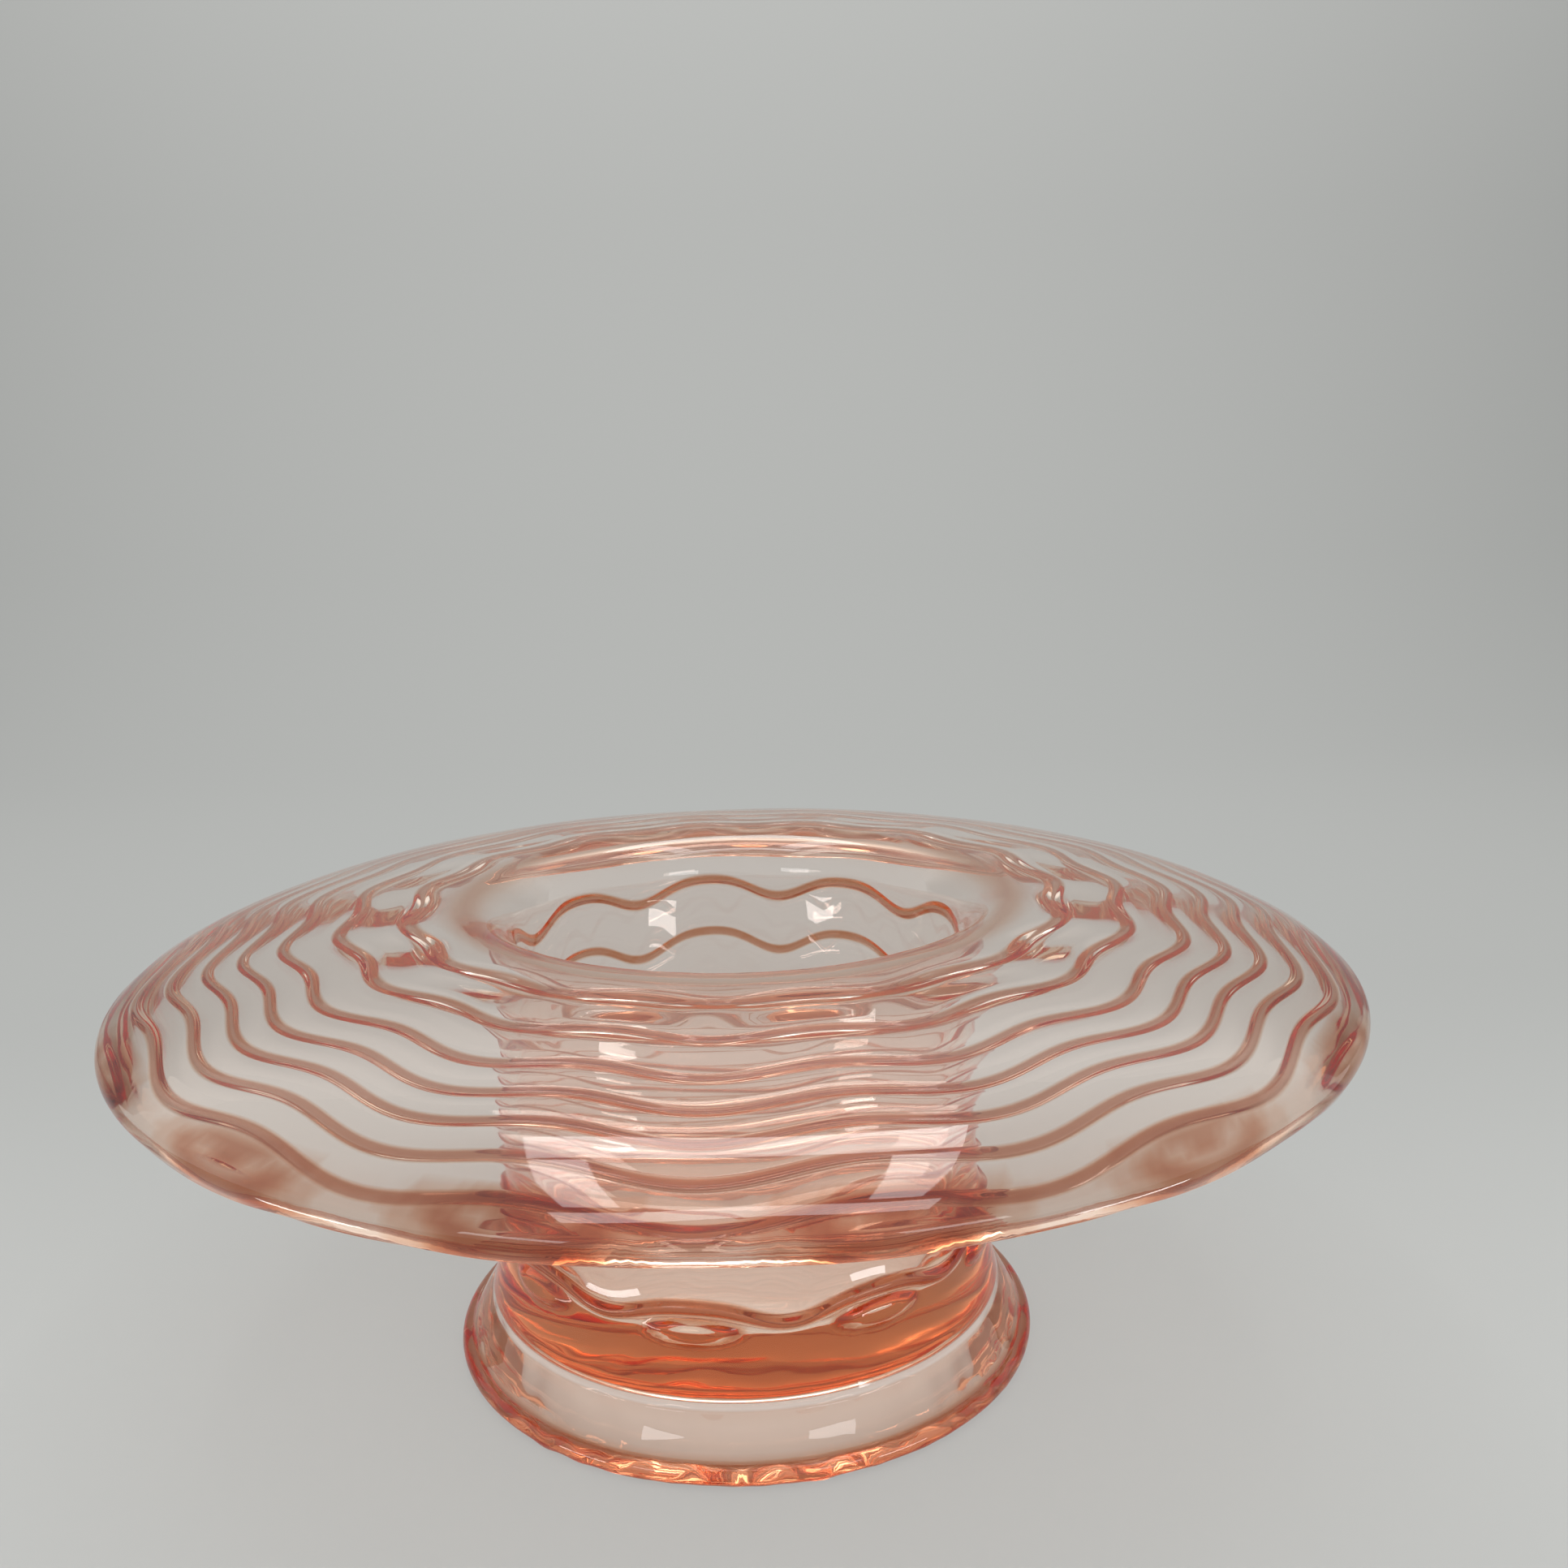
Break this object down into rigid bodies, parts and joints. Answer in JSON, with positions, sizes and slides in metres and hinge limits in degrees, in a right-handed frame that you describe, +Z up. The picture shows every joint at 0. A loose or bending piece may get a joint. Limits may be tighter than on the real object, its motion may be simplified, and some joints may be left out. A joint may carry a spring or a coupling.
{
  "type": "footed glass dish with turned-down rim",
  "caption": "Low round dish of clear pink rippled glass: a deep straight well on a flared hollow foot, with a wide brim that turns down to a rounded edge.",
  "frame": {"origin": "centre of the ring that the foot stands on, at the table surface", "axes": "+Z up along the dish's axis of revolution; +X and +Y radial"},
  "size_m": [0.216, 0.216, 0.084],
  "materials": {
    "pink_glass": "clear fire-polished pressed glass, peach-pink, deeper where it is thick"
  },
  "bodies": {
    "root": {"foot": "pink_glass", "bowl_bottom": "pink_glass", "bowl_wall": "pink_glass", "turned_down_rim": "pink_glass", "rim_edge": "pink_glass"}
  },
  "joints": []
}
